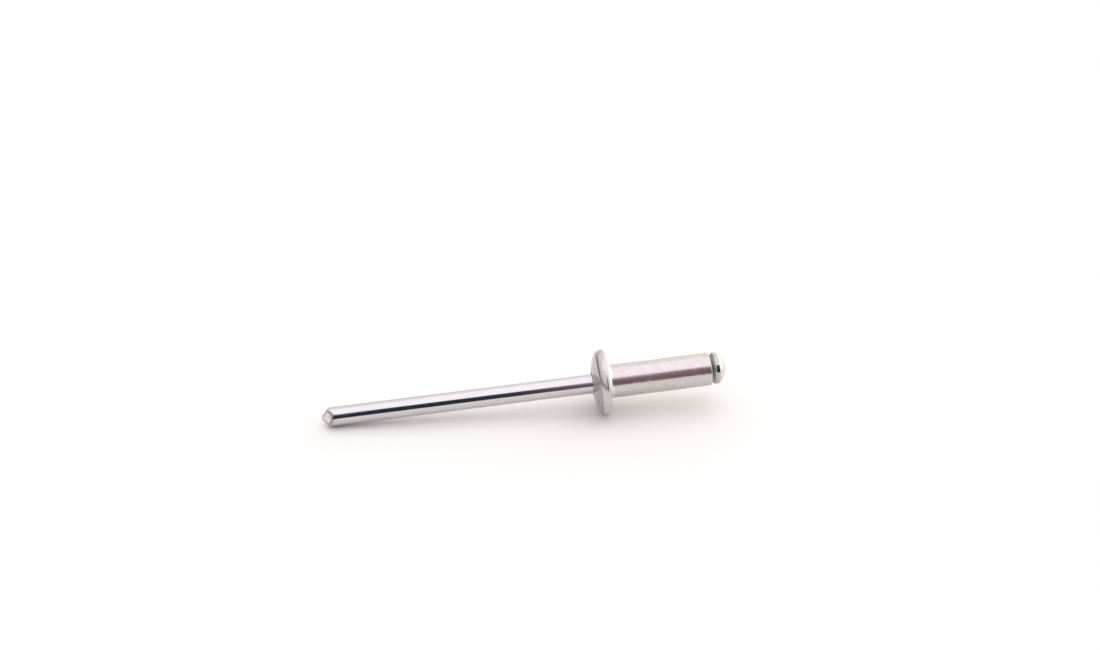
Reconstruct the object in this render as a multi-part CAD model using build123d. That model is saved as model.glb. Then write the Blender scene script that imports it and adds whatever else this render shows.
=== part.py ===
from build123d import *
import os
from math import asin, atan2, cos, degrees, hypot, radians, sin, sqrt, tan

# An open-end blind rivet with a domed flange: a hollow aluminium body on a headed steel mandrel.
# The rivet lies as it comes to rest on a level surface, on the rim of its flange and the end of its stem.
# The origin is the centre of the flange's seat. The rivet's axis heads for +X and rises by the lay angle.
# Profiles are drawn with x along the rivet's axis, towards the blind end, and y as the radius.
# Sizes are in millimetres and angles in degrees.

# Sizes of the body
shank_diameter = 3.2
shank_length = 10.0  # from the flange's seat to the blind end
flange_diameter = 6.4
flange_height = 1.5  # from the seat to where the dome would meet the axis
rim_thickness = 0.85  # from the seat to where the rim's flank would meet the dome in a corner
rim_taper = 18.0  # of the rim's flank, towards the dome
rim_edge_radius = 0.22  # between the seat and the flank
rim_blend_radius = 0.9  # between the flank and the dome
root_fillet = 0.5  # between the shank and the seat
dome_mouth_chamfer = 0.28
blind_edge_share = 0.2  # edge radius at the blind end, of the shank's wall

# Sizes of the mandrel
stem_diameter = 1.85
stem_reach = 27.3  # from the flange's seat to the end of the tail
stem_swell = 0.015  # growth of the stem's radius inside the body, which keeps the body on it
swell_lead = 0.4  # from the crown of the flange's dome out to where the swell starts
stem_clearance = 0.02  # all round the swelled stem, in the body's bore
head_diameter = 3.1  # across the corner between the head's underside and its side
head_side_length = 0.75  # from the body's blind end to the edge of the head's dome
head_dome_rise = 0.85
head_side_taper = 4.0
head_cone_length = 0.4  # of the coned underside, to where it would meet the side in a corner
head_cone_angle = 45.0  # between the underside and the axis
head_edge_radius = 0.2  # between the underside and the side
neck_fillet = 0.1  # under the head, where it meets the stem

# The break notch, pinched into the stem on four sides just behind the head
notch_setback = 1.2  # from the head's underside to the middle of the notch
notch_depth = 0.22
notch_half_angle = 40.0
pinch_count = 4

# The tail, cropped to a four-sided point
tail_broad_angle = 35.0  # between the axis and the two broad facets
tail_narrow_angle = 45.0  # between the axis and the two narrow facets
tail_blunt_width = 0.2  # across the flat that is left at the very tip
tail_roll = 151.0  # of a broad facet, about the axis, from +Y towards +Z

# How far a cutting tool runs past what it cuts
overrun = 0.5

# Sizes that follow from those above
shank_radius = shank_diameter / 2
flange_radius = flange_diameter / 2
rim_centre_radius = flange_radius - rim_edge_radius
stem_radius = stem_diameter / 2
neck_radius = stem_radius + stem_swell
bore_radius = neck_radius + stem_clearance
shank_wall = shank_radius - bore_radius
blind_edge_radius = shank_wall * blind_edge_share
blind_mouth_chamfer = neck_fillet + stem_clearance
head_radius = head_diameter / 2
tail_end = -stem_reach
tail_blunt = tail_blunt_width / 2
tail_angles = (tail_broad_angle, tail_narrow_angle, tail_broad_angle, tail_narrow_angle)


def cap_radius(base, rise):
    """Radius of the sphere whose cap has this base radius and rise."""
    return (base**2 + rise**2) / (2 * rise)


def revolved(*edges):
    """Solid of revolution about the X axis, from the edges of a closed profile."""
    return revolve(make_face(Curve() + list(edges)), Axis.X)


def turns(count):
    """Angles about the axis of features that are spaced evenly from the tail's roll."""
    return [tail_roll + step * 360 / count for step in range(count)]


def flange_outside():
    """Edges from the flange's seat round the rim, over the dome and into the bore, and the bore's start."""
    taper = radians(rim_taper)
    outward = Vector(-sin(taper), cos(taper))
    along_flank = Vector(-cos(taper), -sin(taper))
    rim_start = Vector(-rim_edge_radius, rim_centre_radius) + outward * rim_edge_radius
    corner_radius = rim_start.Y - (rim_thickness + rim_start.X) * tan(taper)
    dome_radius = cap_radius(corner_radius, flange_height - rim_thickness)
    dome_centre = Vector(dome_radius - flange_height, 0)

    # The blend's centre lies inside the flank's line and inside the dome, by the blend's radius.
    level = (rim_start - dome_centre).dot(outward) - rim_blend_radius
    reach = sqrt((dome_radius - rim_blend_radius) ** 2 - level**2)
    blend_centre = dome_centre + outward * level + along_flank * reach
    rim_stop = blend_centre + outward * rim_blend_radius
    dome_edge = dome_centre + (blend_centre - dome_centre).normalized() * dome_radius

    mouth_radius = bore_radius + dome_mouth_chamfer
    mouth = Vector(dome_centre.X - sqrt(dome_radius**2 - mouth_radius**2), mouth_radius)
    bore_start = Vector(mouth.X + dome_mouth_chamfer, bore_radius)
    edges = [
        TangentArc((0, rim_centre_radius), rim_start, tangent=(0, 1)),
        Line(rim_start, rim_stop),
        TangentArc(rim_stop, dome_edge, tangent=along_flank),
        RadiusArc(dome_edge, mouth, -dome_radius),
        Line(mouth, bore_start),
    ]
    return edges, bore_start


def rivet_body():
    """The hollow body: a plain shank, and a domed flange that runs tangent into its rounded rim."""
    outside, bore_start = flange_outside()
    bore_stop = (shank_length - blind_mouth_chamfer, bore_radius)
    blind_mouth = (shank_length, bore_radius + blind_mouth_chamfer)
    blind_face = (shank_length, shank_radius - blind_edge_radius)
    shank_stop = (shank_length - blind_edge_radius, shank_radius)
    shank_start = (root_fillet, shank_radius)
    seat_inside = (0, shank_radius + root_fillet)
    seat_outside = (0, rim_centre_radius)

    return revolved(
        Line(bore_start, bore_stop),
        Line(bore_stop, blind_mouth),
        Line(blind_mouth, blind_face),
        TangentArc(blind_face, shank_stop, tangent=(0, 1)),
        Line(shank_stop, shank_start),
        TangentArc(shank_start, seat_inside, tangent=(-1, 0)),
        Line(seat_inside, seat_outside),
        *outside,
    )


def headed_wire():
    """The mandrel as it leaves the heading die: a wire that swells a little towards its domed head."""
    along_cone = Vector(cos(radians(head_cone_angle)), sin(radians(head_cone_angle)))
    along_side = Vector(cos(radians(head_side_taper)), -sin(radians(head_side_taper)))
    setback = head_edge_radius * tan(radians(head_cone_angle + head_side_taper) / 2)
    corner = Vector(shank_length + head_cone_length, head_radius)
    dome_edge_radius = head_radius - (head_side_length - head_cone_length) * tan(radians(head_side_taper))
    dome_radius = cap_radius(dome_edge_radius, head_dome_rise)

    tail_centre = (tail_end, 0)
    tail_edge = (tail_end, stem_radius)
    swell_start = (-flange_height - swell_lead, stem_radius)
    neck_start = (shank_length - neck_fillet, neck_radius)
    neck_stop = (shank_length, neck_radius + neck_fillet)
    cone_start = (shank_length, head_radius - head_cone_length * tan(radians(head_cone_angle)))
    cone_stop = corner - along_cone * setback
    side_start = corner + along_side * setback
    dome_edge = (shank_length + head_side_length, dome_edge_radius)
    crown = (shank_length + head_side_length + head_dome_rise, 0)

    return revolved(
        Line(tail_centre, tail_edge),
        Line(tail_edge, swell_start),
        Line(swell_start, neck_start),
        TangentArc(neck_start, neck_stop, tangent=(1, 0)),
        Line(neck_stop, cone_start),
        Line(cone_start, cone_stop),
        TangentArc(cone_stop, side_start, tangent=along_cone),
        Line(side_start, dome_edge),
        RadiusArc(dome_edge, crown, dome_radius),
        Line(crown, tail_centre),
    )


def break_notch():
    """The V-shaped pinches around the stem, which leave the neck that breaks when the rivet is set."""
    depth = notch_depth + overrun
    half_width = depth * tan(radians(notch_half_angle))
    bottom = (shank_length - notch_setback, neck_radius - notch_depth)
    left = (bottom[0] - half_width, bottom[1] + depth)
    right = (bottom[0] + half_width, bottom[1] + depth)
    pinch = extrude(make_face(Polyline(bottom, right, left, close=True)), neck_radius, both=True)
    return [Rot(turn, 0, 0) * pinch for turn in turns(pinch_count)]


def tail_facet(turn, angle):
    """Plane that crops the tail on one side, facing outwards."""
    across, up = cos(radians(turn)), sin(radians(turn))
    slope = radians(angle)
    start = (tail_end, tail_blunt * across, tail_blunt * up)
    return Plane(origin=start, z_dir=(-sin(slope), cos(slope) * across, cos(slope) * up))


def tail_facets():
    """Turn about the axis of each of the tail's facets, and its angle to the axis."""
    return list(zip(turns(len(tail_angles)), tail_angles))


def mandrel():
    """The headed wire with its break notch and its cropped tail."""
    wire = headed_wire() - break_notch()
    for turn, angle in tail_facets():
        wire = split(wire, bisect_by=tail_facet(turn, angle), keep=Keep.BOTTOM)
    return wire


def lay_angle():
    """Slope of the axis when the flange's rim and the underside of the tail rest on a level surface."""
    down = -90
    crops = []
    for turn, angle in tail_facets():
        reach = stem_radius * cos(radians(turn - down)) - tail_blunt
        crops.append(reach / tan(radians(angle)))
    run = stem_reach - max(crops) - rim_edge_radius
    drop = rim_centre_radius - stem_radius
    return degrees(atan2(drop, run) + asin(rim_edge_radius / hypot(run, drop)))


os.makedirs("parts", exist_ok=True)
laid = Rot(0, -lay_angle(), 0)
export_step(laid * rivet_body(), "parts/rivet_body.step")
export_step(laid * mandrel(), "parts/mandrel.step")
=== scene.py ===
from math import asin, atan2, cos, hypot, radians, sin, sqrt, tan

import bpy
import numpy as np
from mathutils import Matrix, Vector


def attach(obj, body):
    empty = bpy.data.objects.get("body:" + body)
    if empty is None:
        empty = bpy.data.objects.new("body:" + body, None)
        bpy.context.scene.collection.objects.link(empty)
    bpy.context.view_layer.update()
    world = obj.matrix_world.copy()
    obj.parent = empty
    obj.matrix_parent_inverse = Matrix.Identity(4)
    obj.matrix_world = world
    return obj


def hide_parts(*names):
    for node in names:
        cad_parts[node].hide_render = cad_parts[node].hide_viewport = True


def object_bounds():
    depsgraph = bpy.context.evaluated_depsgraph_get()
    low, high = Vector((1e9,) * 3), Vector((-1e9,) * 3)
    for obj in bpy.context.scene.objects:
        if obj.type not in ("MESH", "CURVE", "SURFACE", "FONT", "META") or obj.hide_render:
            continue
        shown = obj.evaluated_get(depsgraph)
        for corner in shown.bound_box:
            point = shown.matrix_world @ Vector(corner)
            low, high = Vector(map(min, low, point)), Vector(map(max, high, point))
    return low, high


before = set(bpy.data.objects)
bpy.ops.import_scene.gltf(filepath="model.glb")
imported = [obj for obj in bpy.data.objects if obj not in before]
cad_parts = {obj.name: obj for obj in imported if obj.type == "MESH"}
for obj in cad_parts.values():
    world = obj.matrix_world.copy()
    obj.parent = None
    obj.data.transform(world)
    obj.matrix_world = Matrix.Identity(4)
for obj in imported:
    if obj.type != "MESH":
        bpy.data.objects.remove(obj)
cad_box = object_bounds()

# An open-end blind rivet with a domed flange, lying on a white floor in a light tent.
# Lengths are in millimetres, along the rivet's axis from the flange's seat, or across from the axis.
# MM turns them into the frame's metres.
MM = 0.001
MICRON = 0.000001
QUARTER_TURN = radians(90)
HALF_TURN = radians(180)
FULL_TURN = radians(360)

# Sizes of the body
SHANK_RADIUS = 1.6
SHANK_LENGTH = 10.0
FLANGE_RADIUS = 3.2
FLANGE_HEIGHT = 1.5
RIM_THICKNESS = 0.85  # from the seat to where the rim would meet the dome in a corner
RIM_TAPER = radians(18.0)
RIM_EDGE_RADIUS = 0.22  # at the seat
RIM_BLEND_RADIUS = 0.9  # into the dome
ROOT_FILLET = 0.5
DOME_MOUTH_CHAMFER = 0.28
BLIND_EDGE_SHARE = 0.2  # edge radius at the blind end, of the shank's wall

# Sizes of the mandrel
STEM_RADIUS = 0.925
STEM_REACH = 27.3  # from the flange's seat to the end of the tail
STEM_SWELL = 0.015  # growth of the stem's radius inside the body
SWELL_LEAD = 0.4  # from the crown of the flange's dome out to where the swell starts
STEM_CLEARANCE = 0.02  # all round the swelled stem, in the bore
HEAD_RADIUS = 1.55
HEAD_SIDE_LENGTH = 0.75  # from the blind end to the edge of the head's dome
HEAD_DOME_RISE = 0.85
HEAD_SIDE_TAPER = radians(4.0)
HEAD_CONE_LENGTH = 0.4  # of the coned underside, to where it would meet the side in a corner
HEAD_CONE_ANGLE = radians(45.0)
HEAD_EDGE_RADIUS = 0.2  # between the underside and the side
NECK_FILLET = 0.1
NOTCH_SETBACK = 1.2  # from the blind end to the middle of the break notch
NOTCH_DEPTH = 0.22
NOTCH_HALF_ANGLE = radians(40.0)
TAIL_BROAD_ANGLE = radians(35.0)
TAIL_NARROW_ANGLE = radians(45.0)
TAIL_BLUNT = 0.1  # half the width of the flat at the tip
TAIL_ROLL = radians(151.0)  # of a broad facet, about the axis
SIDES = 4  # of the tail and of the break notch

# Sizes that follow from those above
NECK_RADIUS = STEM_RADIUS + STEM_SWELL
BORE_RADIUS = NECK_RADIUS + STEM_CLEARANCE
BLIND_EDGE_RADIUS = (SHANK_RADIUS - BORE_RADIUS) * BLIND_EDGE_SHARE
BLIND_MOUTH_CHAMFER = NECK_FILLET + STEM_CLEARANCE
NOTCH_MIDDLE = SHANK_LENGTH - NOTCH_SETBACK
TAIL_END = -STEM_REACH
TAIL_ANGLES = (TAIL_BROAD_ANGLE, TAIL_NARROW_ANGLE)
TAIL_LENGTH = (STEM_RADIUS - TAIL_BLUNT) / tan(TAIL_BROAD_ANGLE)

# How finely the turned meshes are divided
TURN_STEPS = 256
ARC_STEPS = 24
CROWN_STEPS = 48
NECK_STEPS = 8
NARROW_STEPS = 2  # across chamfers and other narrow rings
BORE_STEPS = 12
SHANK_STEPS = 40
SEAT_STEPS = 6
TIP_STEPS = 12
TAIL_STEPS = 64
STEM_STEPS = 60
SWELL_STEPS = 8
NOTCH_STEPS = 32
CONE_STEPS = 7
HEAD_SIDE_STEPS = 6
FINE_TAIL_SHARE = 1.1  # of the tail's length, over which its rings lie close together
FINE_NOTCH_SHARE = 1.2  # of the break notch's half width, likewise
SHARP_ANGLE = radians(35)  # from which an edge is shaded as a corner
SAME_POINT = 1e-7  # distance up to which two points of a profile are one
RING_ANGLES = np.arange(TURN_STEPS) * FULL_TURN / TURN_STEPS

# How the flats of the tail and of the break notch cut into the wire
EDGE_SHARPNESS = 60  # of the edges that they leave, as the power of a smooth minimum
LEAST_FACING = 0.1  # cosine to a flat's direction, up to which a point is out of its way
OUT_OF_THE_WAY = 1000.0  # radius that stands for no limit
LEAST_RADIUS = 1e-6  # in place of zero, which the smooth minimum can't take
CROP_EDGE = 0.13  # depth, below the wire's surface, of the darker line round each facet of the tail, partly burr and partly painted shade of facets seen edge-on
RIDGE_EDGE = 0.3  # the same, between one facet and the next

# Textures, each with its features per millimetre and its detail
BODY_MOTTLE = (1.6, 4.0)
BODY_TINT = (0.9, 3.0)
BODY_DENTS = (5.0, 2.0)
BODY_GRAIN = (14.0, 3.0)
PIN_TINT = (1.0, 2.0)
PIN_GRAIN = (9.0, 3.0)
DRAW_LINES = (1.0, 4.0)
TEXTURE_ROUGHNESS = 0.55

# Scales of the coordinates of stretched textures, along the axis and across it
BODY_LINE_SCALES = (0.3, 9.0)
PIN_LINE_SCALES = (0.25, 10.0)
PIN_TINT_SCALES = (0.35, 0.8)

# Values of a texture between which a tone or a roughness turns into the next
TINT_RANGE = (0.35, 0.65)
MOTTLE_RANGE = (0.3, 0.7)

# Heights of the textures, in microns
BODY_WAVE_HEIGHT = 9.0
BODY_DENT_HEIGHT = 2.5
BODY_LINE_HEIGHT = 1.0
PIN_LINE_HEIGHT = 0.5
GRAIN_HEIGHT = 0.5

# Tones of the body
BODY_ROSE = (0.62, 0.585, 0.585)
BODY_GREY = (0.61, 0.60, 0.57)
BODY_SHADE = (0.565, 0.53, 0.52)
# Painted highlight on the root fillet
BODY_ROOT_HIGHLIGHT = (0.76, 0.73, 0.73)
# Painted shade, mixed in on the dome, in the crease round it and in the mouth
BODY_PAINTED_SHADE = (0.20, 0.20, 0.19)
BODY_ROUGHNESS = (0.15, 0.28)
FLANGE_ROUGHNESS = 0.03  # more than on the shank

# Marks on the body, each with where it starts and where it is full, along the axis
FLANGE_SIDE = (0.3, -0.1)  # the rougher flange
OUTER_SIDE = (-0.3, -0.4)  # the outside of the flange, away from its seat
MOUTH_SIDE = (-0.9, -1.0)  # the part of the dome that the mouth is in
ROOT_START = (0.0, 0.05)  # the painted highlight on the root fillet, coming from the seat
ROOT_STOP = (0.6, 0.4)  # and coming from the shank

# Marks on the flange, each with where it starts and where it is full, across the axis
CREASE_SHADE_RADIUS = 2.86  # of the painted shade line round the flange, in the crease where its dome runs into the rim
CREASE_SHADE_EDGE = (0.16, 0.02)  # to either side of that line
DOME_SHADE_RADII = (CREASE_SHADE_RADIUS, 2.4)
MOUTH_SHADE_RADII = (1.36, 1.2)
CREASE_SHADE_SHARE = 0.55  # of the painted shade, in the crease line
DOME_SHADE_SHARE = 0.28  # of the painted shade, on the dome
MOUTH_SHADE_SHARE = 0.4  # of the painted shade, in the mouth round the stem

# Tones of the mandrel
PIN_ROSE = (0.60, 0.57, 0.61)
PIN_GREY = (0.60, 0.61, 0.59)
# The head's side in painted shade and its crown with a painted highlight, both over a yellowish tint
HEAD_SIDE_SHADE = (0.47, 0.475, 0.43)
CROWN_HIGHLIGHT = (0.76, 0.75, 0.70)
# Painted shade in the groove under the head
GROOVE_SHADE = (0.22, 0.23, 0.20)
TORN_DARK = (0.72, 0.69, 0.66)
TORN_BRIGHT = (0.92, 0.89, 0.86)
# Darker line round the tail's facets, partly burr and partly painted shade
CROP_EDGE_BURR_AND_SHADE = (0.22, 0.20, 0.19)
PIN_ROUGHNESS = (0.09, 0.15)
CROPPED_ROUGHNESS = 0.2  # more than on the stem

# Marks on the mandrel, each with where it starts and where it is full, along the axis
HEAD_START = (-0.1, 0.1)  # from the blind end, as the next two
CROWN_START = (0.6, 1.0)
GROOVE_SHADE_EDGE = (0.45, 0.25)  # of the painted shade in the groove under the head, coming from the crown
TAIL_START_SHARES = (1.6, 1.2)  # from the tip, of the tail's length
GROOVE_SHADE_SHARE = 0.42  # of the painted shade, in the groove
CROP_EDGE_SHARE = 0.8  # of the crop edge's darker tone, partly burr and partly painted shade, at the edge

# The camera, as it stood to the rivet, in the frame's axes
CAMERA_PLACE = (-12.48, -70.53, 45.22)
CAMERA_AIM = (-3.71, 17.79, -3.227)
CAMERA_LENS = 28.7
SENSOR_WIDTH = 36.0
CAMERA_CLIP = (2.0, 20000.0)

# The floor
FLOOR_SIZE = 3000.0
FLOOR_COLOUR = (0.90, 0.89, 0.87)

# The light tent: a bright roof over side walls that differ, with an opening where the camera stands
WHITE = (1.0, 1.0, 1.0)
ROOF_LIGHT = (1.56, 1.46, 1.57)
LEFT_LIGHT = (1.00, 0.96, 0.97)
RIGHT_LIGHT = (1.45, 1.43, 1.33)
LEFT_HORIZON = (0.15, 0.14, 0.15)
RIGHT_HORIZON = (1.50, 1.48, 1.37)
WALL_SPREAD = (-0.9, 0.9)  # sideways parts of a direction, between which the left turns into the right
HORIZON_TOP = 30.0  # elevation in degrees, up to which the walls have their horizon's light in them
ROOF_EDGE = (50.0, 58.0)  # elevations between which the walls turn into the roof

# The opening, in degrees. A bearing turns from -Y, which is the camera's side, towards +X.
OPENING_TOP = (47.0, 52.0)
OPENING_LEFT = (-25.0, -20.0)
OPENING_RIGHT = (36.0, 44.0)
OPENING_DARK = (0.024, 0.031, 0.055)
OPENING_DUSK = (0.16, 0.10, 0.13)
OPENING_WARM = (0.36, 0.205, 0.23)
OPENING_HAZE = (0.72, 0.58, 0.62)
DUSK_START = (-2.29, 3.44)  # where the dark gives way to the dusk
WARM_START = (4.58, 8.02)  # where the dusk gives way to the warm tone
WARM_STOP = (11.46, 14.9)  # where the warm tone and the haze give way to the dark again
HAZE_START = (-4.58, 2.29)  # where the haze sets in
HAZE_TOP = 49.46  # elevation at which the haze is full
HAZE_POWER = 4.0  # of the height, by which the haze grows


def lay_angle():
    """Slope of the axis when the flange's rim and the underside of the tail rest on a level surface."""
    down = -QUARTER_TURN
    crops = []
    for side in range(SIDES):
        reach = STEM_RADIUS * cos(TAIL_ROLL + side * FULL_TURN / SIDES - down)
        crops.append((reach - TAIL_BLUNT) / tan(TAIL_ANGLES[side % 2]))
    run = STEM_REACH - max(crops) - RIM_EDGE_RADIUS
    drop = FLANGE_RADIUS - RIM_EDGE_RADIUS - STEM_RADIUS
    return atan2(drop, run) + asin(RIM_EDGE_RADIUS / hypot(run, drop))


LAY = lay_angle()


def heading(angle):
    """Step of one millimetre in a profile's plane, at this angle to the axis."""
    return np.array([cos(angle), sin(angle)])


def arc(centre, radius, start, stop, steps=ARC_STEPS):
    """Points of a round stretch of a profile, from one angle to another, as rows of (along, radius)."""
    angles = np.linspace(start, stop, steps + 1)
    return np.column_stack([centre[0] + radius * np.cos(angles), centre[1] + radius * np.sin(angles)])


def line(start, stop, steps):
    """Points of a straight stretch of a profile."""
    return np.linspace(start, stop, steps + 1)


def joined(*stretches):
    """One profile from its stretches, without the points that two neighbours share."""
    points = np.vstack(stretches)
    keep = np.ones(len(points), bool)
    keep[1:] = np.hypot(*(points[1:] - points[:-1]).T) > SAME_POINT
    return points[keep]


def cap_radius(base, rise):
    """Radius of the sphere whose cap has this base radius and rise."""
    return (base**2 + rise**2) / (2 * rise)


def body_profile():
    """Closed profile of the hollow body, from the bore's mouth on the dome round to itself."""
    rim_facing = QUARTER_TURN + RIM_TAPER
    outward = heading(rim_facing)
    along_rim = heading(rim_facing + QUARTER_TURN)
    edge = np.array([-RIM_EDGE_RADIUS, FLANGE_RADIUS - RIM_EDGE_RADIUS])
    rim_start = edge + RIM_EDGE_RADIUS * outward
    corner_radius = rim_start[1] - (RIM_THICKNESS + rim_start[0]) * tan(RIM_TAPER)
    dome_radius = cap_radius(corner_radius, FLANGE_HEIGHT - RIM_THICKNESS)
    dome_centre = np.array([dome_radius - FLANGE_HEIGHT, 0])

    # The blend's centre lies inside the rim's line and inside the dome by the blend's radius.
    level = (rim_start - dome_centre) @ outward - RIM_BLEND_RADIUS
    reach = sqrt((dome_radius - RIM_BLEND_RADIUS) ** 2 - level**2)
    blend = dome_centre + level * outward + reach * along_rim
    dome_slant = atan2(blend[1], blend[0] - dome_centre[0])
    mouth_slant = HALF_TURN - asin((BORE_RADIUS + DOME_MOUTH_CHAMFER) / dome_radius)

    mouth = dome_centre + dome_radius * heading(mouth_slant)
    bore_start = (mouth[0] + DOME_MOUTH_CHAMFER, BORE_RADIUS)
    bore_stop = (SHANK_LENGTH - BLIND_MOUTH_CHAMFER, BORE_RADIUS)
    blind_mouth = (SHANK_LENGTH, BORE_RADIUS + BLIND_MOUTH_CHAMFER)
    blind_edge = (SHANK_LENGTH - BLIND_EDGE_RADIUS, SHANK_RADIUS - BLIND_EDGE_RADIUS)
    root = (ROOT_FILLET, SHANK_RADIUS + ROOT_FILLET)

    # The last point is left out, because it is the first one again.
    return joined(
        line(bore_start, bore_stop, BORE_STEPS),
        line(bore_stop, blind_mouth, NARROW_STEPS),
        line(blind_mouth, (SHANK_LENGTH, blind_edge[1]), NARROW_STEPS),
        arc(blind_edge, BLIND_EDGE_RADIUS, 0, QUARTER_TURN),
        line((blind_edge[0], SHANK_RADIUS), (root[0], SHANK_RADIUS), SHANK_STEPS),
        arc(root, ROOT_FILLET, -QUARTER_TURN, -HALF_TURN),
        line((0, root[1]), (0, edge[1]), SEAT_STEPS),
        arc(edge, RIM_EDGE_RADIUS, 0, rim_facing),
        arc(blend, RIM_BLEND_RADIUS, rim_facing, dome_slant),
        arc(dome_centre, dome_radius, dome_slant, mouth_slant),
        line(mouth, bore_start, NARROW_STEPS)[:-1],
    )


def wire_profile():
    """Profile of the headed wire, from the middle of its tail to the crown of its head."""
    tail_stop = TAIL_END + FINE_TAIL_SHARE * TAIL_LENGTH
    swell_start = -FLANGE_HEIGHT - SWELL_LEAD
    notch_half = FINE_NOTCH_SHARE * NOTCH_DEPTH * tan(NOTCH_HALF_ANGLE)
    neck = (SHANK_LENGTH - NECK_FILLET, NECK_RADIUS + NECK_FILLET)

    def swelled(along):
        """Point on the stem between the start of its swell and the neck."""
        return along, STEM_RADIUS + STEM_SWELL * (along - swell_start) / (neck[0] - swell_start)

    notch_start = swelled(NOTCH_MIDDLE - notch_half)
    notch_stop = swelled(NOTCH_MIDDLE + notch_half)

    cone_facing = QUARTER_TURN + HEAD_CONE_ANGLE
    side_facing = QUARTER_TURN - HEAD_SIDE_TAPER
    setback = HEAD_EDGE_RADIUS * tan((cone_facing - side_facing) / 2)
    corner = np.array([SHANK_LENGTH + HEAD_CONE_LENGTH, HEAD_RADIUS])
    cone_start = (SHANK_LENGTH, HEAD_RADIUS - HEAD_CONE_LENGTH * tan(HEAD_CONE_ANGLE))
    cone_stop = corner - setback * heading(HEAD_CONE_ANGLE)
    side_start = corner + setback * heading(-HEAD_SIDE_TAPER)
    edge = side_start - HEAD_EDGE_RADIUS * heading(side_facing)

    dome_edge_radius = HEAD_RADIUS - (HEAD_SIDE_LENGTH - HEAD_CONE_LENGTH) * tan(HEAD_SIDE_TAPER)
    dome_edge = (SHANK_LENGTH + HEAD_SIDE_LENGTH, dome_edge_radius)
    dome_radius = cap_radius(dome_edge_radius, HEAD_DOME_RISE)
    dome_centre = (dome_edge[0] + HEAD_DOME_RISE - dome_radius, 0)
    dome_slant = asin(dome_edge_radius / dome_radius)
    return joined(
        line((TAIL_END, 0), (TAIL_END, STEM_RADIUS), TIP_STEPS),
        line((TAIL_END, STEM_RADIUS), (tail_stop, STEM_RADIUS), TAIL_STEPS),
        line((tail_stop, STEM_RADIUS), (swell_start, STEM_RADIUS), STEM_STEPS),
        line((swell_start, STEM_RADIUS), notch_start, SWELL_STEPS),
        line(notch_start, notch_stop, NOTCH_STEPS),
        line(notch_stop, (neck[0], NECK_RADIUS), NARROW_STEPS),
        arc(neck, NECK_FILLET, -QUARTER_TURN, 0, NECK_STEPS),
        line((SHANK_LENGTH, neck[1]), cone_start, NARROW_STEPS),
        line(cone_start, cone_stop, CONE_STEPS),
        arc(edge, HEAD_EDGE_RADIUS, cone_facing, side_facing),
        line(side_start, dome_edge, HEAD_SIDE_STEPS),
        arc(dome_centre, dome_radius, dome_slant, 0, CROWN_STEPS),
    )


def limits(along, radius):
    """Radii that the wire itself and each flat of the tail or of the break notch leave on one ring."""
    rows = [np.full(TURN_STEPS, max(radius, LEAST_RADIUS))]
    near_tail = along < TAIL_END / 2
    for side in range(SIDES):
        if near_tail:
            reach = TAIL_BLUNT + (along - TAIL_END) * tan(TAIL_ANGLES[side % 2])
        else:
            reach = NECK_RADIUS - NOTCH_DEPTH + abs(along - NOTCH_MIDDLE) / tan(NOTCH_HALF_ANGLE)
        facing = np.cos(RING_ANGLES - TAIL_ROLL - side * FULL_TURN / SIDES)
        cut = reach / np.maximum(facing, LEAST_FACING)
        rows.append(np.where(facing > LEAST_FACING, cut, OUT_OF_THE_WAY))
    return np.array(rows)


def pared(along, radius):
    """Radii of one ring of the wire, where the flats of the tail and of the break notch cut into it."""
    return (limits(along, radius) ** -EDGE_SHARPNESS).sum(axis=0) ** (-1 / EDGE_SHARPNESS)


def crop_marks(along, radius):
    """How far each point of a ring is cropped, and how near it is to an edge of the crop."""
    wire, *flats = limits(along, radius)
    first, second = np.sort(flats, axis=0)[:2]
    cropped = np.clip((wire - first) / CROP_EDGE, 0, 1)
    round_edge = np.exp(-((wire - first) / CROP_EDGE) ** 2)
    ridge = np.exp(-((second - first) / RIDGE_EDGE) ** 2)
    return cropped, np.maximum(round_edge, ridge * cropped)


def turned(name, profile, closed, paring=None):
    """Mesh object of a profile that is turned about the rivet's axis and laid at its slope."""
    poles = [] if closed else [0, len(profile) - 1]
    points, rings = [], []
    for step, (along, radius) in enumerate(profile):
        if step in poles:
            rings.append([len(points)] * TURN_STEPS)
            points.append((along, 0, 0))
            continue
        radii = paring(along, radius) if paring else np.full(TURN_STEPS, radius)
        across = radii * np.cos(RING_ANGLES)
        up = radii * np.sin(RING_ANGLES)
        rings.append(list(range(len(points), len(points) + TURN_STEPS)))
        points.extend(zip(np.full(TURN_STEPS, along), across, up))
    faces = []
    for step in range(len(profile) if closed else len(profile) - 1):
        one, two = rings[step], rings[(step + 1) % len(rings)]
        for turn in range(TURN_STEPS):
            after = (turn + 1) % TURN_STEPS
            corners = [one[turn], one[after], two[after], two[turn]]
            faces.append(list(dict.fromkeys(corners)))

    along, across, up = np.array(points).T * MM
    laid = np.column_stack([along * cos(LAY) - up * sin(LAY), across, along * sin(LAY) + up * cos(LAY)])
    mesh = bpy.data.meshes.new(name)
    mesh.from_pydata(laid.tolist(), [], faces)
    mesh.validate()
    mesh.shade_smooth()
    mesh.set_sharp_from_angle(angle=SHARP_ANGLE)
    piece = bpy.data.objects.new(name, mesh)
    bpy.context.scene.collection.objects.link(piece)
    return piece


def mark_crop(mesh, profile):
    """Attributes of the wire's mesh that tell its material how far each point of the tail is cropped."""
    # The ends of the profile are single points: the tip is cropped, and the crown isn't.
    tip, crown = (1, 0), (0, 0)
    marks = [tip]
    for along, radius in profile[1:-1]:
        marks.extend(zip(*crop_marks(along, radius)))
    marks.append(crown)
    for name, values in zip(("cropped", "crop_edge"), np.array(marks, float).T):
        mesh.attributes.new(name, "FLOAT", "POINT").data.foreach_set("value", values)


def rgba(colour):
    return (*colour, 1.0)


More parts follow.
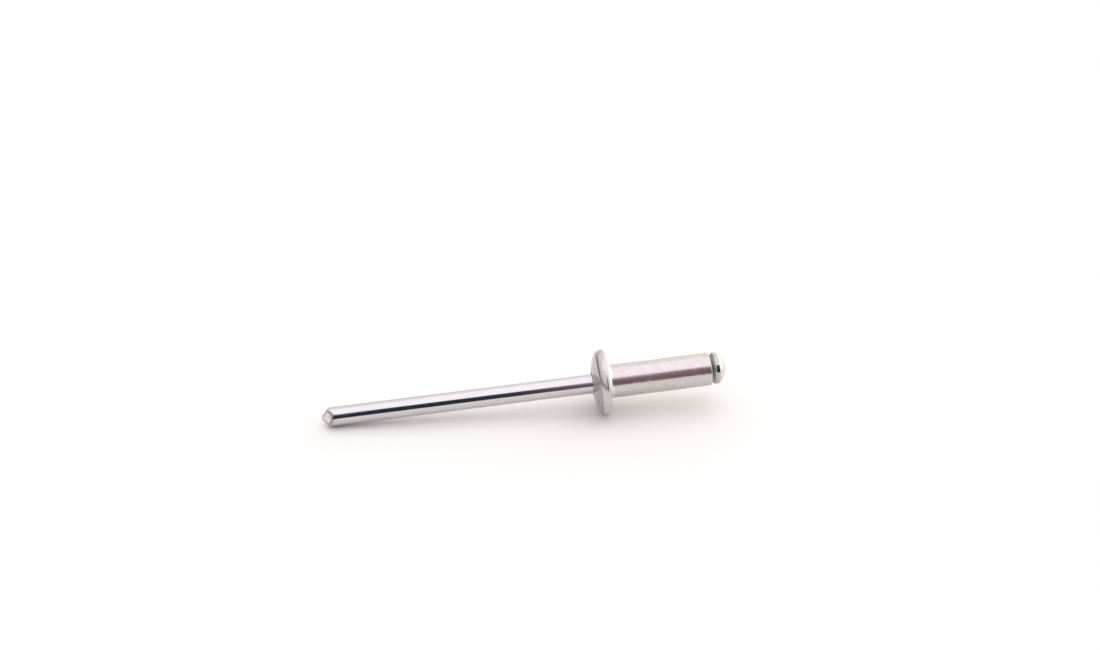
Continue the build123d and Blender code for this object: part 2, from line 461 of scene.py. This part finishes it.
class Nodes:
    """A node tree, with short calls that add a node and wire its inputs."""

    # Places of a Mix node's sockets for colours, which share their names with its other sockets
    MIX_SHARE, MIX_ONE, MIX_TWO, MIX_RESULT = 0, 6, 7, 2

    def __init__(self, tree):
        self.tree = tree
        tree.nodes.clear()

    def add(self, kind, inputs, out=0, **settings):
        """One output of a new node, or the node if it has none. An input is a value or an output."""
        node = self.tree.nodes.new(kind)
        for name, value in settings.items():
            setattr(node, name, value)
        for key, value in inputs.items():
            if isinstance(value, bpy.types.NodeSocket):
                self.tree.links.new(value, node.inputs[key])
            else:
                node.inputs[key].default_value = value
        return node.outputs[out] if len(node.outputs) else node

    def math(self, operation, one, two=0.0):
        return self.add("ShaderNodeMath", {0: one, 1: two}, operation=operation)

    def times(self, one, two):
        return self.math("MULTIPLY", one, two)

    def plus(self, one, two):
        return self.math("ADD", one, two)

    def ramp(self, value, start, stop, low=0.0, high=1.0):
        """The value as it eases from low at start to high at stop."""
        sockets = {"Value": value, "From Min": start, "From Max": stop, "To Min": low, "To Max": high}
        return self.add("ShaderNodeMapRange", sockets, interpolation_type="SMOOTHSTEP")

    def mix(self, share, one, two):
        """Colour between two others, each of them a tone or an output."""
        one, two = (rgba(colour) if isinstance(colour, tuple) else colour for colour in (one, two))
        sockets = {self.MIX_SHARE: share, self.MIX_ONE: one, self.MIX_TWO: two}
        return self.add("ShaderNodeMix", sockets, out=self.MIX_RESULT, data_type="RGBA")

    def axes(self, vector):
        """The three parts of a vector."""
        return self.add("ShaderNodeSeparateXYZ", {"Vector": vector}).node.outputs

    def attribute(self, name):
        """A mesh's own value at each point."""
        return self.add("ShaderNodeAttribute", {}, out="Fac", attribute_name=name)

    def stretched(self, vector, along, across):
        """Coordinates scaled along the rivet's axis and across it."""
        scales = (along, across, across)
        return self.add("ShaderNodeVectorMath", {0: vector, 1: scales}, operation="MULTIPLY")

    def axis_frame(self):
        """Coordinates in millimetres with x along the rivet's axis."""
        place = self.add("ShaderNodeTexCoord", {}, out="Object")
        level = self.add("ShaderNodeMapping", {"Vector": place, "Rotation": (0, LAY, 0)})
        return self.stretched(level, 1 / MM, 1 / MM)

    def axis_distance(self, place):
        """Distance from the rivet's axis."""
        across = self.stretched(place, 0.0, 1.0)
        return self.add("ShaderNodeVectorMath", {0: across}, out="Value", operation="LENGTH")

    def noise(self, vector, scale, detail):
        sockets = {"Vector": vector, "Scale": scale, "Detail": detail, "Roughness": TEXTURE_ROUGHNESS}
        return self.add("ShaderNodeTexNoise", sockets)

    def bump(self, texture, microns, normal=None):
        """Normal of a surface that a texture raises, on top of another normal where there is one."""
        sockets = {"Height": texture, "Distance": microns * MICRON, "Strength": 1.0}
        if normal is not None:
            sockets["Normal"] = normal
        return self.add("ShaderNodeBump", sockets)

    def metal(self, colour, roughness, normal):
        """Bare metal as the tree's surface."""
        sockets = {"Base Color": colour, "Metallic": 1.0, "Roughness": roughness, "Normal": normal}
        shader = self.add("ShaderNodeBsdfPrincipled", sockets)
        self.add("ShaderNodeOutputMaterial", {"Surface": shader})


def new_material(name):
    """A material, and its empty node tree."""
    material = bpy.data.materials.new(name)
    material.use_nodes = True
    return material, Nodes(material.node_tree)


def aluminium():
    """Satin drawn aluminium, mottled and dented, with a painted highlight on the root fillet and painted
    shade on the dome, in the crease round it and in the mouth.
    """
    material, nodes = new_material("aluminium")
    place = nodes.axis_frame()
    along = nodes.axes(place)[0]
    radius = nodes.axis_distance(place)
    mottle = nodes.noise(place, *BODY_MOTTLE)
    tint = nodes.noise(place, *BODY_TINT)
    dents = nodes.noise(place, *BODY_DENTS)
    lines = nodes.noise(nodes.stretched(place, *BODY_LINE_SCALES), *DRAW_LINES)
    grain = nodes.noise(place, *BODY_GRAIN)

    outside = nodes.ramp(along, *OUTER_SIDE)
    # Painted shade: a dark line in the crease where the dome runs into the rim
    off_crease = nodes.math("ABSOLUTE", nodes.math("SUBTRACT", radius, CREASE_SHADE_RADIUS))
    crease_shade = nodes.times(outside, nodes.ramp(off_crease, *CREASE_SHADE_EDGE, 0.0, CREASE_SHADE_SHARE))
    # Painted shade, darkening the dome
    dome_shade = nodes.times(outside, nodes.ramp(radius, *DOME_SHADE_RADII, 0.0, DOME_SHADE_SHARE))
    # Painted shade in the recessed mouth round the stem
    recessed = nodes.ramp(along, *MOUTH_SIDE)
    mouth_shade = nodes.times(recessed, nodes.ramp(radius, *MOUTH_SHADE_RADII, 0.0, MOUTH_SHADE_SHARE))
    # All the painted shade on the flange
    painted_shade = nodes.plus(dome_shade, nodes.plus(crease_shade, mouth_shade))
    # Painted highlight, lighter on the root fillet
    root_highlight = nodes.times(nodes.ramp(along, *ROOT_START), nodes.ramp(along, *ROOT_STOP))

    pale = nodes.mix(nodes.ramp(tint, *TINT_RANGE), BODY_ROSE, BODY_GREY)
    mottled = nodes.mix(nodes.ramp(mottle, *MOTTLE_RANGE), BODY_SHADE, pale)
    root_highlighted = nodes.mix(root_highlight, mottled, BODY_ROOT_HIGHLIGHT)
    colour = nodes.mix(painted_shade, root_highlighted, BODY_PAINTED_SHADE)

    satin = nodes.ramp(mottle, *MOTTLE_RANGE, *BODY_ROUGHNESS)
    roughness = nodes.plus(satin, nodes.ramp(along, *FLANGE_SIDE, 0.0, FLANGE_ROUGHNESS))
    wavy = nodes.bump(mottle, BODY_WAVE_HEIGHT)
    dented = nodes.bump(dents, BODY_DENT_HEIGHT, wavy)
    drawn = nodes.bump(lines, BODY_LINE_HEIGHT, dented)
    grained = nodes.bump(grain, GRAIN_HEIGHT, drawn)
    nodes.metal(colour, roughness, grained)
    return material


def plated_steel():
    """Smooth zinc-plated steel, with painted shade in the groove under its yellowish head and on the
    head's side, a painted highlight on the head's crown, and a torn, cropped tail whose facets have
    darker edges, partly burr and partly painted shade.
    """
    material, nodes = new_material("plated_steel")
    place = nodes.axis_frame()
    along = nodes.axes(place)[0]
    past_blind_end = nodes.math("SUBTRACT", along, SHANK_LENGTH)
    tint = nodes.noise(nodes.stretched(place, *PIN_TINT_SCALES), *PIN_TINT)
    lines = nodes.noise(nodes.stretched(place, *PIN_LINE_SCALES), *DRAW_LINES)
    grain = nodes.noise(place, *PIN_GRAIN)

    on_tail = nodes.ramp(along, *(TAIL_END + share * TAIL_LENGTH for share in TAIL_START_SHARES))
    cropped = nodes.times(nodes.attribute("cropped"), on_tail)
    crop_edge = nodes.times(nodes.attribute("crop_edge"), on_tail)

    bright = nodes.mix(nodes.ramp(tint, *TINT_RANGE), PIN_ROSE, PIN_GREY)
    # Painted shade on the head's side, a painted highlight on its crown
    head_shade_and_highlight = nodes.mix(nodes.ramp(past_blind_end, *CROWN_START), HEAD_SIDE_SHADE, CROWN_HIGHLIGHT)
    # Painted shade in the groove under the head
    groove_shade = nodes.ramp(past_blind_end, *GROOVE_SHADE_EDGE, 0.0, GROOVE_SHADE_SHARE)
    groove_shaded = nodes.mix(groove_shade, head_shade_and_highlight, GROOVE_SHADE)
    headed = nodes.mix(nodes.ramp(past_blind_end, *HEAD_START), bright, groove_shaded)
    torn = nodes.mix(grain, TORN_DARK, TORN_BRIGHT)
    bared = nodes.mix(cropped, headed, torn)
    # Darker line round the tail's facets, partly burr and partly painted shade of facets seen edge-on
    colour = nodes.mix(nodes.times(crop_edge, CROP_EDGE_SHARE), bared, CROP_EDGE_BURR_AND_SHADE)

    smooth = nodes.ramp(grain, *MOTTLE_RANGE, *PIN_ROUGHNESS)
    roughness = nodes.plus(smooth, nodes.times(cropped, CROPPED_ROUGHNESS))
    drawn = nodes.bump(lines, PIN_LINE_HEIGHT)
    grained = nodes.bump(grain, GRAIN_HEIGHT, drawn)
    nodes.metal(colour, roughness, grained)
    return material


def white_floor():
    """Matt white ground."""
    material, nodes = new_material("white_floor")
    matt = nodes.add("ShaderNodeBsdfDiffuse", {"Color": rgba(FLOOR_COLOUR)})
    nodes.add("ShaderNodeOutputMaterial", {"Surface": matt})
    return material


def make_floor():
    """The plain pale floor that the rivet lies on."""
    half = FLOOR_SIZE * MM / 2
    level = cad_box[0].z
    corners = [(-half, -half, level), (half, -half, level), (half, half, level), (-half, half, level)]
    mesh = bpy.data.meshes.new("floor")
    mesh.from_pydata(corners, [], [(0, 1, 2, 3)])
    mesh.materials.append(white_floor())
    floor = bpy.data.objects.new("floor", mesh)
    bpy.context.scene.collection.objects.link(floor)


def height_at(elevation):
    """Upward part of a direction at this elevation in degrees."""
    return sin(radians(elevation))


def make_tent():
    """The light tent as the world's light. To the camera itself the world is white."""
    world = bpy.data.worlds.new("tent")
    world.use_nodes = True
    bpy.context.scene.world = world
    nodes = Nodes(world.node_tree)
    direction = nodes.add("ShaderNodeTexCoord", {}, out="Generated")
    side, depth, height = nodes.axes(direction)
    bearing = nodes.math("ARCTAN2", side, nodes.times(depth, -1.0))

    def over(elevations):
        """From nothing under the first elevation to all over the second."""
        return nodes.ramp(height, *map(height_at, elevations))

    def past(bearings):
        """From nothing left of the first bearing to all right of the second."""
        return nodes.ramp(bearing, *map(radians, bearings))

    def rest(share):
        """What a share leaves."""
        return nodes.math("SUBTRACT", 1.0, share)

    between = nodes.times(past(OPENING_LEFT), rest(past(OPENING_RIGHT)))
    opening = nodes.times(between, rest(over(OPENING_TOP)))
    dusk = nodes.mix(past(DUSK_START), OPENING_DARK, OPENING_DUSK)
    warm = nodes.mix(past(WARM_START), dusk, OPENING_WARM)
    rise = nodes.math("POWER", nodes.math("DIVIDE", height, height_at(HAZE_TOP)), HAZE_POWER)
    hazy = nodes.mix(nodes.times(rise, past(HAZE_START)), warm, OPENING_HAZE)
    tone = nodes.mix(past(WARM_STOP), hazy, OPENING_DARK)

    rightness = nodes.ramp(side, *WALL_SPREAD)
    upper = nodes.mix(rightness, LEFT_LIGHT, RIGHT_LIGHT)
    lower = nodes.mix(rightness, LEFT_HORIZON, RIGHT_HORIZON)
    lit = nodes.mix(nodes.ramp(height, 0.0, height_at(HORIZON_TOP)), lower, upper)
    walls = nodes.mix(opening, lit, tone)
    tent = nodes.mix(over(ROOF_EDGE), walls, ROOF_LIGHT)
    camera_ray = nodes.add("ShaderNodeLightPath", {}, out="Is Camera Ray")
    seen = nodes.mix(camera_ray, tent, WHITE)
    background = nodes.add("ShaderNodeBackground", {"Color": seen, "Strength": 1.0})
    nodes.add("ShaderNodeOutputWorld", {"Surface": background})


def make_camera():
    """The camera where the photograph was taken from."""
    data = bpy.data.cameras.new("camera")
    data.lens = CAMERA_LENS
    data.sensor_width = SENSOR_WIDTH
    data.clip_start, data.clip_end = (reach * MM for reach in CAMERA_CLIP)
    camera = bpy.data.objects.new("camera", data)
    camera.location = Vector(CAMERA_PLACE) * MM
    camera.rotation_mode = "QUATERNION"
    camera.rotation_quaternion = (Vector(CAMERA_AIM) - Vector(CAMERA_PLACE)).to_track_quat("-Z", "Y")
    bpy.context.scene.collection.objects.link(camera)
    bpy.context.scene.camera = camera


def make_body():
    """The aluminium body, in place of its solid."""
    piece = turned("body", body_profile(), closed=True)
    piece.data.materials.append(aluminium())
    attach(piece, "root")
    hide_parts("rivet_body")


def make_mandrel():
    """The plated steel mandrel, in place of its solid."""
    profile = wire_profile()
    piece = turned("pin", profile, closed=False, paring=pared)
    mark_crop(piece.data, profile)
    piece.data.materials.append(plated_steel())
    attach(piece, "root")
    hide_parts("mandrel")


make_camera()
make_tent()
make_floor()
make_body()
make_mandrel()
bpy.context.scene.view_settings.view_transform = "Standard"
